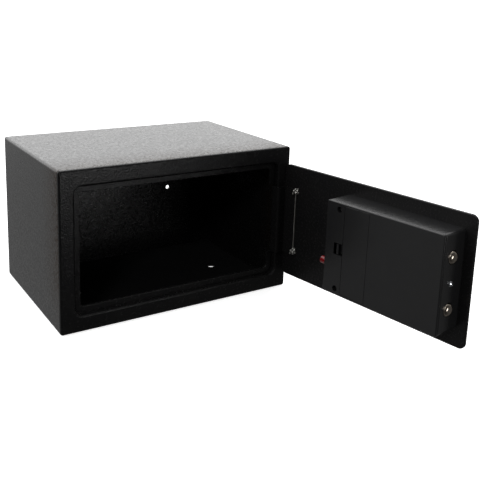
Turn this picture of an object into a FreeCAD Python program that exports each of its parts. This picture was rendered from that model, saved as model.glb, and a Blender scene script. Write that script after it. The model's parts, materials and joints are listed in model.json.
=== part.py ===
import FreeCAD, Part
import Sketcher
import math
import os
import re

# In room safe: a folded steel body with a side hinged door, two round locking bolts
# in a lock box on the door, and a keypad with a turn knob on the door's outer side.
# Frame: X to the right, -Y to the front, +Z up, origin at the middle of the underside.
# The door group is drawn shut and then turned about the hinge pin by open_angle.

doc = FreeCAD.newDocument("in_room_safe")
App = FreeCAD

# ---------------------------------------------------------------- driving dimensions
SIZES = [
    ("body_width", 310, "outer width of the body"),
    ("body_depth", 205, "outer depth of the body"),
    ("body_height", 190, "outer height of the body"),
    ("sheet", 2, "steel sheet of the body"),
    ("wrap_radius", 3, "outer bend radius of the wrapper"),
    ("frame_lip", 3.7, "depth of the front frame in front of the wrapper"),
    ("frame_radius", 2.4, "rounding of the frame's front rim"),
    ("seam_break", 0.6, "rounding along the seam between frame and wrapper"),
    ("tongue_sheet", 1.5, "thickness of the frame's tongue inside the wrapper"),
    ("tongue_depth", 12, "how far the tongue reaches behind the front face"),
    ("side_margin", 17.6, "body side to door opening"),
    ("end_margin", 19.2, "body underside or top to door opening"),
    ("opening_radius", 9.5, "corner radius of the door opening"),
    ("fold_radius", 2, "rolled edge of the door opening"),
    ("rebate_depth", 8, "front face to stop flange"),
    ("stop_width", 8.4, "width of the stop flange"),
    ("stop_radius", 5, "corner radius inside the stop flange"),
    ("bead_proud", 1.4, "bead in front of the stop flange"),
    ("bead_gap", 1.8, "groove between the rebate's wall and the bead"),
    ("bead_round", 0.6, "rounding of the bead"),
    ("open_angle", 98.3, "how far the door stands open"),
    ("hinge_out", 6.9, "door opening to hinge axis"),
    ("hinge_back", 7, "front face to hinge axis"),
    ("pin_radius", 2.5, "hinge pin"),
    ("pin_clearance", 0.05, "running clearance of shafts and pins"),
    ("knuckle_radius", 4.5, "outside of the hinge knuckle"),
    ("hinge_low", 51, "lower end of the hinge plate"),
    ("hinge_tall", 88, "height of the hinge plate"),
    ("hinge_plate_thick", 3, "hinge plate sheet"),
    ("hinge_inner", 9.6, "hinge axis to the inside of the goose neck"),
    ("hinge_lap", 20, "hinge plate lapped on the door"),
    ("notch_clearance", 1.5, "hinge plate end to frame notch"),
    ("tab_thick", 3, "hinge tabs"),
    ("tab_deep", 11, "hinge tabs, front to back"),
    ("door_gap_side", 2.4, "door edge to opening, left and right"),
    ("door_gap_end", 2, "door edge to opening, above and below"),
    ("door_thick", 4, "door plate"),
    ("door_recess", 1, "door behind the front face"),
    ("door_radius", 7.5, "corner radius of the door"),
    ("door_edge", 1, "edge rounding of the door"),
    ("weld_radius", 2.8, "weld bead"),
    ("weld_length", 9, "weld bead"),
    ("lock_from_hinge", 105, "door's hinge edge to lock box"),
    ("lock_from_free", 11.5, "door's free edge to lock box"),
    ("lock_rise", 21.8, "door's lower edge to lock box"),
    ("lock_spare", 9.4, "lock box height beyond two cells end to end"),
    ("lock_deep", 38, "lock box depth, with its cover"),
    ("lock_wall", 2, "lock box wall"),
    ("lock_radius", 3, "lock box corners"),
    ("cover_deep", 3, "depth of the cap shaped cover"),
    ("base_flange", 9, "lock box base around its window"),
    ("edge_break", 0.9, "edge rounding along the lock box's seam"),
    ("face_round", 1.2, "edge rounding of the cover's face"),
    ("bolt_radius", 7.5, "locking bolt"),
    ("bolt_low", 26, "lock box underside to lower bolt"),
    ("bolt_spacing", 57, "between the two bolts"),
    ("bolt_off", 20, "door's inner face to bolt axis"),
    ("bolt_proud", 3, "bolt tip outside the lock box when drawn back"),
    ("bolt_length", 31.5, "thick part of the bolt"),
    ("bolt_round", 4.5, "rounding of the bolt's tip"),
    ("bolt_clearance", 0.3, "bolt to its holes"),
    ("spigot_radius", 4, "bolt tail in the carrier"),
    ("bolt_throw", 12, "travel of the bolts"),
    ("guide_head", 3.3, "head of the bolt guide's screw"),
    ("guide_shank", 2.5, "shank of the bolt guide's screw"),
    ("carrier_thick", 3, "bolt carrier plate"),
    ("knob_turn", 70, "turn of the knob"),
    ("spindle_x", -72, "spindle, from the middle of the door"),
    ("spindle_radius", 4, "knob spindle"),
    ("crank_pin_radius", 2, "crank pin"),
    ("slot_clearance", 0.3, "crank pin to carrier slot"),
    ("knob_radius", 17, "turn knob"),
    ("knob_tall", 15.5, "turn knob, front to back"),
    ("flute_radius", 2.5, "knob flutes"),
    ("ramp_fall", 0.25, "ramp on the carrier, mm for each mm of travel"),
    ("plunger_x", -68, "solenoid plunger"),
    ("plunger_radius", 3.1, "solenoid plunger"),
    ("coil_radius", 8.8, "solenoid coil"),
    ("coil_tall", 10.5, "solenoid coil"),
    ("panel_seam", 131, "door's hinge edge to battery cover"),
    ("panel_wide", 34.6, "battery cover opening"),
    ("panel_clearance", 0.25, "battery cover in its opening"),
    ("panel_round", 0.35, "edge rounding of the battery cover"),
    ("latch_wide", 12.5, "latch recess beside the battery cover"),
    ("latch_tall", 14, "latch recess"),
    ("latch_sunk", 3.2, "latch tongue under the battery cover"),
    ("latch_gap", 5.6, "battery cover to the latch's finger bar"),
    ("latch_bar", 3, "the latch's finger bar"),
    ("pillar_sunk", 5, "cover screw's seat below the seam"),
    ("recess_radius", 3.5, "recess over a cover screw"),
    ("cell_radius", 7.1, "AA cell"),
    ("cell_long", 50.3, "AA cell with its terminal"),
    ("contact_thick", 0.4, "battery contact"),
    ("reset_radius", 4.5, "reset button"),
    ("reset_proud", 10, "reset button outside the lock box"),
    ("reset_rise", 32, "lock box underside to reset button"),
    ("fascia_left", -102, "keypad fascia, from the middle of the door"),
    ("fascia_right", 14, "keypad fascia, from the middle of the door"),
    ("fascia_low", 50, "keypad fascia above the underside"),
    ("fascia_tall", 96, "keypad fascia height"),
    ("fascia_deep", 9, "keypad fascia depth"),
    ("fascia_wall", 2, "keypad fascia wall"),
    ("fascia_radius", 6, "keypad fascia corners"),
    ("key_x", -41, "first key column"),
    ("key_z", 69, "lowest key row"),
    ("key_pitch_x", 18, "between key columns"),
    ("key_pitch_z", 15, "between key rows"),
    ("key_wide", 14, "key"),
    ("key_tall", 11, "key"),
    ("key_proud", 1.5, "key above the fascia"),
    ("key_rim", 1, "rim that keeps the key in the fascia"),
    ("key_clearance", 0.3, "key in its hole"),
    ("key_radius", 2, "key corners"),
    ("cylinder_z", 70, "override lock above the underside"),
    ("cylinder_radius", 7, "override lock body"),
    ("plug_radius", 4, "override lock plug"),
    ("cap_radius", 9.5, "override lock cap"),
    ("screw_radius", 1.5, "M3 screw"),
    ("screw_head", 2.8, "M3 pan head"),
    ("floor_hole_x", 99.5, "floor anchor holes, each side of the middle"),
    ("floor_hole_y", -4.5, "floor anchor holes"),
    ("rear_hole_x", 84, "rear anchor holes, each side of the middle"),
    ("rear_hole_z", 94, "rear anchor holes"),
    ("anchor_radius", 5.25, "floor anchor holes"),
    ("rear_anchor_radius", 2.9, "rear anchor holes"),
    ("mat_thick", 1.5, "floor mat"),
    ("mat_side", 5, "wrapper wall to mat"),
    ("mat_rear", 10, "rear panel to mat"),
    ("mat_front", 14, "front face to mat"),
]

# ---------------------------------------------------------------- derived places
PLACES = [
    ("half_w", "body_width / 2"),
    ("front_y", "-body_depth / 2"),
    ("rear_y", "body_depth / 2"),
    ("wrap_y", "front_y + frame_lip"),
    ("open_half", "half_w - side_margin"),
    ("open_low", "end_margin"),
    ("open_high", "body_height - end_margin"),
    ("stop_y", "front_y + rebate_depth"),
    ("stop_back", "stop_y + sheet"),
    ("stop_half", "open_half - stop_width"),
    ("hinge_x", "open_half + hinge_out"),
    ("hinge_y", "front_y + hinge_back"),
    ("hinge_high", "hinge_low + hinge_tall"),
    ("notch_low", "hinge_low - notch_clearance"),
    ("notch_high", "hinge_high + notch_clearance"),
    ("hinge_outer", "hinge_inner + hinge_plate_thick"),
    ("door_half", "open_half - door_gap_side"),
    ("door_low", "open_low + door_gap_end"),
    ("door_high", "open_high - door_gap_end"),
    ("outer_y", "front_y + door_recess"),
    ("inner_y", "outer_y + door_thick"),
    ("lap_x", "door_half - hinge_lap"),
    ("lock_right", "door_half - lock_from_hinge"),
    ("lock_left", "lock_from_free - door_half"),
    ("lock_low", "door_low + lock_rise"),
    ("lock_high", "lock_low + 2 * cell_long + lock_spare"),
    ("lock_back", "inner_y + lock_deep"),
    ("seam_y", "lock_back - cover_deep"),
    ("base_y", "inner_y + lock_wall"),
    ("room_left", "lock_left + lock_wall"),
    ("room_right", "lock_right - lock_wall"),
    ("room_low", "lock_low + lock_wall"),
    ("room_high", "lock_high - lock_wall"),
    ("bolt_y", "inner_y + bolt_off"),
    ("bolt_z1", "lock_low + bolt_low"),
    ("bolt_z2", "bolt_z1 + bolt_spacing"),
    ("spindle_z", "(bolt_z1 + bolt_z2) / 2"),
    ("bolt_tip", "lock_left - bolt_proud"),
    ("carrier_x", "bolt_tip + bolt_length"),
    ("arm_y", "inner_y + 9"),
    ("crank_r", "bolt_throw / 2 / sin(knob_turn / 2)"),
    ("pin_x", "spindle_x + bolt_throw / 2"),
    ("pin_z", "spindle_z + crank_r * cos(knob_turn / 2)"),
    ("disc_y", "inner_y + 2.5"),
    ("ramp_z", "spindle_z + 19.5"),
    ("coil_low", "ramp_z + 5.2"),
    ("coil_high", "coil_low + coil_tall"),
    ("panel_x2", "door_half - panel_seam"),
    ("panel_x1", "panel_x2 - panel_wide"),
    ("panel_mid", "(panel_x1 + panel_x2) / 2"),
    ("latch_z", "(lock_low + lock_high) / 2"),
    ("tray_y", "seam_y - 14.5"),
    ("cell_y", "tray_y + 0.3 + cell_radius"),
    ("fascia_face", "outer_y - fascia_deep"),
    ("fascia_in", "fascia_face + fascia_wall"),
    ("fascia_high", "fascia_low + fascia_tall"),
    ("key_x_mid", "key_x + key_pitch_x"),
    ("window_z", "key_z + 3.5 * key_pitch_z + 10.5"),
    ("pillar_x", "panel_x2 + 7.5"),
    ("pillar_z1", "room_low + 5"),
    ("pillar_z2", "room_high - 6"),
    ("pillar_y", "seam_y - pillar_sunk"),
    ("reset_z", "lock_low + reset_rise"),
    ("reset_y", "seam_y - edge_break - 0.6 - reset_radius"),
    ("board_y", "seam_y - 5"),
]


def fill_sheet(name, rows):
    """A sheet with the name, the value and the meaning of each row."""
    sheet = doc.addObject("Spreadsheet::Sheet", name)
    for number, row in enumerate(rows, start=1):
        sheet.set(f"A{number}", row[0])
        sheet.set(f"B{number}", row[1])
        sheet.setAlias(f"B{number}", row[0])
        if len(row) > 2:
            sheet.set(f"C{number}", row[2])
    return sheet


OWNER = {row[0]: "Sizes" for row in SIZES}
OWNER.update({row[0]: "Places" for row in PLACES})


def tied(text):
    """An expression with each named size given as a cell of its sheet."""
    return re.sub(r"[a-z]\w*", lambda m: f"{OWNER[m[0]]}.{m[0]}" if m[0] in OWNER else m[0], str(text))


sizes = fill_sheet("Sizes", [(name, str(value), meaning) for name, value, meaning in SIZES])
doc.recompute()
places = doc.addObject("Spreadsheet::Sheet", "Places")
for line, (alias, formula) in enumerate(PLACES, start=1):
    inside = re.sub(r"[a-z]\w*", lambda m: f"Sizes.{m[0]}" if OWNER.get(m[0]) == "Sizes" else m[0], formula)
    places.set(f"A{line}", alias)
    places.set(f"B{line}", "=" + inside)
    places.setAlias(f"B{line}", alias)
doc.recompute()


def value(name):
    """The number in a named cell, for the few shapes made without features."""
    return float(getattr(doc.getObject(OWNER[name]), name))


NODES = []
SWING = tied("placement(vector(0; 0; 0); rotation(vector(0; 0; 1); open_angle); "
             "vector(hinge_x; hinge_y; 0))")
TURN = {"x": "rotation(vector(0; 1; 0); 90)", "y": "rotation(vector(1; 0; 0); -90)",
        "z": "rotation(vector(0; 0; 1); 0)"}


def node(piece, label, on_door=True):
    """Makes an object a named sub-part; the door's sub-parts stand turned open."""
    piece.Label = label
    if on_door:
        own = dict(piece.ExpressionEngine).get("Placement")
        piece.setExpression("Placement", f"{SWING} * {own}" if own else SWING)
    NODES.append(piece)
    return piece


# ---------------------------------------------------------------- primitives
def box(name, x, y, z):
    """A box between two ends along each axis."""
    piece = doc.addObject("Part::Box", name)
    for side, (start, end) in zip(("Length", "Width", "Height"), (x, y, z)):
        piece.setExpression(side, tied(f"({end}) - ({start})"))
    base = tied(f"vector({x[0]}; {y[0]}; {z[0]})")
    piece.setExpression("Placement", f"placement({base}; rotation(vector(0; 0; 1); 0))")
    return piece


def rod(name, axis, at, radius, start, end):
    """A cylinder along an axis; at is its place on the two other axes, in XYZ order."""
    piece = doc.addObject("Part::Cylinder", name)
    base = list(at)
    base.insert("xyz".index(axis), start)
    piece.setExpression("Radius", tied(radius))
    piece.setExpression("Height", tied(f"({end}) - ({start})"))
    middle = tied(f"vector({base[0]}; {base[1]}; {base[2]})")
    piece.setExpression("Placement", f"placement({middle}; {TURN[axis]})")
    return piece


def fuse(name, *pieces):
    joined = doc.addObject("Part::MultiFuse", name)
    joined.Shapes = list(pieces)
    joined.Refine = True
    return joined


def cut(name, base, *tools):
    """The base without the tools."""
    result = doc.addObject("Part::Cut", name)
    result.Base = base
    result.Tool = tools[0] if len(tools) == 1 else fuse(name + "_tools", *tools)
    return result


def group(name, *pieces):
    """Separate solids that share one node."""
    bundle = doc.addObject("Part::Compound", name)
    bundle.Links = list(pieces)
    return bundle


# ---------------------------------------------------------------- bodies and sketches
# Along the axis of each sketch plane, True where the plane's normal points down the axis.
AXIS_FLIPPED = {"XY_Plane": False, "XZ_Plane": True, "YZ_Plane": False}


def body(name):
    return doc.addObject("PartDesign::Body", name)


def sketch(owner, plane, start, at=("0", "0")):
    """A sketch on one of the body's own origin planes, moved along its normal."""
    drawing = owner.newObject("Sketcher::SketchObject", owner.Name + "_sketch")
    origin_plane = [f for f in owner.Origin.OriginFeatures if f.Role == plane][0]
    drawing.AttachmentSupport = [(origin_plane, "")]
    drawing.MapMode = "FlatFace"
    sign = "-" if AXIS_FLIPPED[plane] else ""
    drawing.setExpression("AttachmentOffset.Base.z", tied(f"{sign}({start})"))
    drawing.setExpression("AttachmentOffset.Base.x", tied(at[0]))
    drawing.setExpression("AttachmentOffset.Base.y", tied(at[1]))
    return drawing


def tie_point(drawing, line, end, across, up):
    """Fixes one end of a line at two named distances from the sketch's origin."""
    for kind, distance in (("DistanceX", across), ("DistanceY", up)):
        number = drawing.addConstraint(Sketcher.Constraint(kind, -1, 1, line, end, 1.0))
        drawing.setExpression(f"Constraints[{number}]", tied(distance))


def polygon(drawing, points):
    """A closed outline through points given as pairs of expressions."""
    count = len(points)
    first = drawing.GeometryCount
    ring = [App.Vector(math.cos(2 * math.pi * k / count), math.sin(2 * math.pi * k / count), 0)
            for k in range(count)]
    for k in range(count):
        drawing.addGeometry(Part.LineSegment(ring[k], ring[(k + 1) % count]), False)
    for k in range(count):
        following = first + (k + 1) % count
        drawing.addConstraint(Sketcher.Constraint("Coincident", first + k, 2, following, 1))
    for k, (across, up) in enumerate(points):
        tie_point(drawing, first + k, 1, across, up)


def rectangle(drawing, across, up):
    (left, right), (low, high) = across, up
    polygon(drawing, [(left, low), (right, low), (right, high), (left, high)])


def circle(drawing, across, up, radius):
    number = drawing.addGeometry(Part.Circle(App.Vector(1, 1, 0), App.Vector(0, 0, 1), 1), False)
    tie_point(drawing, number, 3, across, up)
    last = drawing.addConstraint(Sketcher.Constraint("Radius", number, 1.0))
    drawing.setExpression(f"Constraints[{last}]", tied(radius))


def extrude(owner, kind, plane, start, end, draw, at=("0", "0")):
    """A Pad or a Pocket from start to end along the axis of a sketch plane."""
    drawing = sketch(owner, plane, start, at)
    draw(drawing)
    feature = owner.newObject("PartDesign::" + kind, owner.Name + "_" + kind.lower())
    feature.Profile = drawing
    feature.setExpression("Length", tied(f"({end}) - ({start})"))
    feature.Reversed = AXIS_FLIPPED[plane] if kind == "Pad" else not AXIS_FLIPPED[plane]
    return feature


def revolve(owner, plane, start, at, points, axis="H_Axis"):
    """A turned piece: its half outline about the sketch's own axis."""
    drawing = sketch(owner, plane, start, at)
    polygon(drawing, points)
    feature = owner.newObject("PartDesign::Revolution", owner.Name + "_turned")
    feature.Profile = drawing
    feature.ReferenceAxis = (drawing, [axis])
    feature.Angle = 360
    return feature


def round_edges(owner, radius, wanted, kind="Fillet"):
    """Rounds the edges of the body's last feature for which wanted(edge) is true."""
    doc.recompute()
    last = owner.Tip
    names = [f"Edge{k}" for k, edge in enumerate(last.Shape.Edges, start=1) if wanted(edge)]
    feature = owner.newObject("PartDesign::" + kind, owner.Name + "_" + kind.lower())
    feature.Base = (last, names)
    feature.setExpression("Radius" if kind == "Fillet" else "Size", tied(radius))
    doc.recompute()
    return feature


def along(axis):
    """A test for straight edges parallel to an axis."""
    def test(edge):
        if edge.Curve.TypeId != "Part::GeomLine":
            return False
        return abs(abs(edge.tangentAt(edge.FirstParameter).dot(axis)) - 1) < 1e-6
    return test


Y_AXIS, Z_AXIS = App.Vector(0, 1, 0), App.Vector(0, 0, 1)
NEAR = 0.01


def flat_at(edge, coordinate, level):
    """True if the whole edge lies at one level of a coordinate."""
    low = getattr(edge.BoundBox, coordinate + "Min")
    high = getattr(edge.BoundBox, coordinate + "Max")
    return abs(low - level) < NEAR and abs(high - level) < NEAR


def corner_at(edge, half, low, high, middle=0.0):
    """True if an edge stands at a corner of a rectangle in X and Z."""
    spot = edge.BoundBox.Center
    wide = abs(abs(spot.x - middle) - half) < NEAR
    return wide and min(abs(spot.z - low), abs(spot.z - high)) < NEAR


# ---------------------------------------------------------------- safe body
def make_body_wrapper():
    part = body("body_wrapper")
    extrude(part, "Pad", "XZ_Plane", "wrap_y", "rear_y",
            lambda s: rectangle(s, ("-half_w", "half_w"), ("0", "body_height")))
    round_edges(part, "wrap_radius", along(Y_AXIS))
    seam = value("wrap_y")
    round_edges(part, "seam_break", lambda e: flat_at(e, "Y", seam))
    extrude(part, "Pocket", "XZ_Plane", "wrap_y", "rear_y",
            lambda s: rectangle(s, ("sheet - half_w", "half_w - sheet"),
                                ("sheet", "body_height - sheet")))
    inner_half = value("half_w") - value("sheet")
    low, high = value("sheet"), value("body_height") - value("sheet")
    round_edges(part, "wrap_radius - sheet",
                lambda e: along(Y_AXIS)(e) and corner_at(e, inner_half, low, high))

    def anchors(s):
        for side in ("-", ""):
            circle(s, side + "floor_hole_x", "floor_hole_y", "anchor_radius")
    extrude(part, "Pocket", "XY_Plane", "0", "sheet", anchors)
    node(part, "body_wrapper", on_door=False)


def make_rear_panel():
    part = body("rear_panel")

    def outline(s):
        rectangle(s, ("sheet - half_w", "half_w - sheet"), ("sheet", "body_height - sheet"))
        for side in ("-", ""):
            circle(s, side + "rear_hole_x", "rear_hole_z", "rear_anchor_radius")
    extrude(part, "Pad", "XZ_Plane", "rear_y - sheet", "rear_y", outline)
    round_edges(part, "wrap_radius - sheet", along(Y_AXIS))
    node(part, "rear_panel", on_door=False)


def make_front_frame():
    part = body("front_frame")
    extrude(part, "Pad", "XZ_Plane", "front_y", "wrap_y",
            lambda s: rectangle(s, ("-half_w", "half_w"), ("0", "body_height")))
    round_edges(part, "wrap_radius", along(Y_AXIS))
    front, seam = value("front_y"), value("wrap_y")
    round_edges(part, "frame_radius", lambda e: flat_at(e, "Y", front))
    round_edges(part, "seam_break", lambda e: flat_at(e, "Y", seam))
    extrude(part, "Pocket", "XZ_Plane", "front_y + sheet", "wrap_y",
            lambda s: rectangle(s, ("sheet - half_w", "half_w - sheet"),
                                ("sheet", "body_height - sheet")))

    def tongue(s):
        rectangle(s, ("sheet - half_w", "half_w - sheet"), ("sheet", "body_height - sheet"))
        reach = "half_w - sheet - tongue_sheet"
        rectangle(s, (f"-({reach})", reach),
                  ("sheet + tongue_sheet", "body_height - sheet - tongue_sheet"))
    extrude(part, "Pad", "XZ_Plane", "front_y + sheet", "front_y + tongue_depth", tongue)
    inner_half = value("half_w") - value("sheet")
    low, high = value("sheet"), value("body_height") - value("sheet")
    back = value("front_y") + value("tongue_depth")
    round_edges(part, "wrap_radius - sheet",
                lambda e: along(Y_AXIS)(e) and corner_at(e, inner_half, low, high)
                and abs(e.BoundBox.YMax - back) < NEAR)
    extrude(part, "Pad", "XZ_Plane", "front_y + sheet", "stop_back",
            lambda s: rectangle(s, ("-open_half - sheet", "open_half + sheet"),
                                ("open_low - sheet", "open_high + sheet")))
    extrude(part, "Pocket", "XZ_Plane", "front_y", "stop_y",
            lambda s: rectangle(s, ("-open_half", "open_half"), ("open_low", "open_high")))
    round_edges(part, "opening_radius",
                lambda e: along(Y_AXIS)(e) and corner_at(e, value("open_half"), value("open_low"),
                                                         value("open_high")))
    round_edges(part, "opening_radius + sheet",
                lambda e: along(Y_AXIS)(e) and corner_at(e, value("open_half") + value("sheet"),
                                                         value("open_low") - value("sheet"),
                                                         value("open_high") + value("sheet")))
    round_edges(part, "fold_radius",
                lambda e: flat_at(e, "Y", front) and abs(e.BoundBox.Center.x) < value("half_w") - 6
                and value("end_margin") - 6 < e.BoundBox.Center.z < value("open_high") + 6)
    # A bead stands in front of the stop flange, a narrow groove away from the rebate's wall.
    corner_x, span = "(open_half - opening_radius)", "(open_half - bead_gap)"
    tall = ("open_low + bead_gap", "open_high - bead_gap")
    short = ("open_low + opening_radius", "open_high - opening_radius")

    def bead_corners(s):
        for side in ("-", ""):
            for z in short:
                circle(s, side + corner_x, z, "opening_radius - bead_gap")
    for outline in (lambda s: rectangle(s, ("-" + corner_x, corner_x), tall),
                    lambda s: rectangle(s, ("-" + span, span), short), bead_corners):
        extrude(part, "Pad", "XZ_Plane", "stop_y - bead_proud", "stop_y", outline)
    extrude(part, "Pocket", "XZ_Plane", "stop_y - bead_proud", "stop_back",
            lambda s: rectangle(s, ("-stop_half", "stop_half"),
                                ("open_low + stop_width", "open_high - stop_width")))
    round_edges(part, "stop_radius",
                lambda e: along(Y_AXIS)(e) and corner_at(e, value("stop_half"),
                                                         value("open_low") + value("stop_width"),
                                                         value("open_high") - value("stop_width")))
    bead = value("stop_y") - value("bead_proud")
    round_edges(part, "bead_round", lambda e: flat_at(e, "Y", bead))
    # The goose neck hinge passes through a notch in the rebate on the hinge side.
    extrude(part, "Pocket", "XZ_Plane", "front_y + sheet + 0.4", "stop_back",
            lambda s: rectangle(s, ("stop_half - 1", "open_half + sheet"),
                                ("notch_low", "notch_high")))
    node(part, "front_frame", on_door=False)


def make_floor_mat():
    mat = box("mat_sheet", ("mat_side + sheet - half_w", "half_w - sheet - mat_side"),
              ("front_y + mat_front", "rear_y - sheet - mat_rear"), ("sheet", "sheet + mat_thick"))
    holes = [rod("mat_hole", "z", (side + "floor_hole_x", "floor_hole_y"),
                 "anchor_radius + 1", "sheet", "sheet + mat_thick") for side in ("-", "")]
    node(cut("floor_mat", mat, *holes), "floor_mat", on_door=False)


def make_strike_channel():
    # The bolts stand behind its rear leg when they are out.
    part = body("strike_channel")
    web, reach = "-stop_half - 2", "-stop_half - 16"
    rear = "bolt_y - bolt_radius - bolt_clearance"
    extrude(part, "Pad", "XY_Plane", "bolt_z1 - 17", "bolt_z2 + 17",
            lambda s: polygon(s, [(web, "stop_back"), (web, rear), (reach, rear),
                                  (reach, f"{rear} - sheet"), (f"{web} - sheet", f"{rear} - sheet"),
                                  (f"{web} - sheet", "stop_back + sheet"),
                                  (reach, "stop_back + sheet"), (reach, "stop_back")]))
    node(part, "strike_channel", on_door=False)


def make_hinge_fixings():
    tabs = []
    for name, low in (("lower_tab", "notch_low - tab_thick"), ("upper_tab", "notch_high")):
        plate = box(name + "_plate", ("open_half + sheet", "half_w - sheet - tongue_sheet"),
                    ("front_y + sheet", "front_y + sheet + tab_deep"), (low, f"{low} + tab_thick"))
        hole = rod(name + "_hole", "z", ("hinge_x", "hinge_y"), "pin_radius", low,
                   f"{low} + tab_thick")
        tabs.append(cut(name, plate, hole))
    node(group("hinge_tabs", *tabs), "hinge_tabs", on_door=False)
    shank = rod("pin_shank", "z", ("hinge_x", "hinge_y"), "pin_radius",
                "notch_low - tab_thick - 2", "notch_high + tab_thick")
    head = rod("pin_head", "z", ("hinge_x", "hinge_y"), "pin_radius + 1.2",
               "notch_high + tab_thick", "notch_high + tab_thick + 1.8")
    node(fuse("hinge_pin", shank, head), "hinge_pin", on_door=False)


# ---------------------------------------------------------------- door
FASCIA_SCREWS = [(x, z) for x in ("fascia_left + 6", "fascia_right - 5.4")
                 for z in ("fascia_low + 16", "fascia_high - 12")]
HOUSING_SCREWS = [(x, z) for x in ("room_left + 8", "room_right - 6")
                  for z in ("room_low + 4", "room_high - 4")]
BOARD_SCREWS = [(x, z) for x in ("room_left + 36", "panel_x1 - 11")
                for z in ("room_low + 12", "room_high - 12")]


def make_door_plate():
    part = body("door_plate")
    extrude(part, "Pad", "XZ_Plane", "outer_y", "inner_y",
            lambda s: rectangle(s, ("-door_half", "door_half"), ("door_low", "door_high")))
    round_edges(part, "door_radius", along(Y_AXIS))
    outer, inner = value("outer_y"), value("inner_y")
    round_edges(part, "door_edge", lambda e: flat_at(e, "Y", outer) or flat_at(e, "Y", inner))

    def holes(s):
        circle(s, "spindle_x", "spindle_z", "spindle_radius + 2")
        circle(s, "spindle_x", "cylinder_z", "cylinder_radius + pin_clearance")
        circle(s, "key_x_mid", "window_z", "5")
        for x, z in FASCIA_SCREWS:
            circle(s, x, z, "screw_radius")
    extrude(part, "Pocket", "XZ_Plane", "outer_y", "inner_y", holes)

    def threads(s):
        for x, z in HOUSING_SCREWS:
            circle(s, x, z, "screw_radius")
    extrude(part, "Pocket", "XZ_Plane", "inner_y - 3", "inner_y", threads)
    node(part, "door_plate")


def make_hinge_plate():
    # Goose neck: along the door, back round the frame's edge, and forward to the pin.
    part = body("hinge_plate")
    half = "hinge_plate_thick / 2"
    near, far = "hinge_x - hinge_inner", "hinge_x - hinge_outer"
    outline = [("lap_x", "inner_y"), (near, "inner_y"), (near, "hinge_y + hinge_inner"),
               (f"hinge_x - {half}", "hinge_y + hinge_inner"), (f"hinge_x - {half}", "hinge_y + 3"),
               (f"hinge_x + {half}", "hinge_y + 3"), (f"hinge_x + {half}", "hinge_y + hinge_outer"),
               (far, "hinge_y + hinge_outer"), (far, "inner_y + hinge_plate_thick"),
               ("lap_x", "inner_y + hinge_plate_thick")]
    extrude(part, "Pad", "XY_Plane", "hinge_low", "hinge_high", lambda s: polygon(s, outline))
    back = value("hinge_y") + value("hinge_outer")
    round_edges(part, "hinge_plate_thick",
                lambda e: along(Z_AXIS)(e) and flat_at(e, "Y", back))
    extrude(part, "Pad", "XY_Plane", "hinge_low", "hinge_high",
            lambda s: circle(s, "hinge_x", "hinge_y", "knuckle_radius"))
    extrude(part, "Pocket", "XY_Plane", "hinge_low", "hinge_high",
            lambda s: circle(s, "hinge_x", "hinge_y", "pin_radius + pin_clearance"))
    node(part, "hinge_plate")


def make_hinge_welds():
    beads = []
    for name, low in (("lower_bead", "hinge_low"), ("upper_bead", "hinge_high - weld_length")):
        bead = doc.addObject("Part::Cylinder", name)
        bead.setExpression("Radius", tied("weld_radius"))
        bead.setExpression("Height", tied("weld_length"))
        bead.Angle = 90
        corner = tied(f"vector(lap_x; inner_y; {low})")
        bead.setExpression("Placement", f"placement({corner}; rotation(vector(0; 0; 1); 90))")
        beads.append(bead)
    node(group("hinge_welds", *beads), "hinge_welds")


# ---------------------------------------------------------------- lock box shells
def make_lock_housing():
    part = body("lock_housing")
    extrude(part, "Pad", "XZ_Plane", "inner_y", "seam_y",
            lambda s: rectangle(s, ("lock_left", "lock_right"), ("lock_low", "lock_high")))
    round_edges(part, "lock_radius", along(Y_AXIS))
    seam = value("seam_y")
    round_edges(part, "edge_break", lambda e: flat_at(e, "Y", seam))
    extrude(part, "Pocket", "XZ_Plane", "base_y", "seam_y",
            lambda s: rectangle(s, ("room_left", "room_right"), ("room_low", "room_high")))

    def window(s):
        rectangle(s, ("room_left + base_flange", "room_right - base_flange"),
                  ("room_low + base_flange", "room_high - base_flange"))
        for x, z in HOUSING_SCREWS:
            circle(s, x, z, "screw_radius")
    extrude(part, "Pocket", "XZ_Plane", "inner_y", "base_y", window)

    def bolt_holes(s):
        for z in ("bolt_z1", "bolt_z2"):
            circle(s, "bolt_y", z, "bolt_radius + bolt_clearance")
        circle(s, "bolt_y", "spindle_z", "guide_shank")
    extrude(part, "Pocket", "YZ_Plane", "lock_left", "room_left", bolt_holes)
    extrude(part, "Pocket", "YZ_Plane", "room_right", "lock_right",
            lambda s: circle(s, "reset_y", "reset_z", "reset_radius + 0.3"))
    node(part, "lock_housing")


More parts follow.
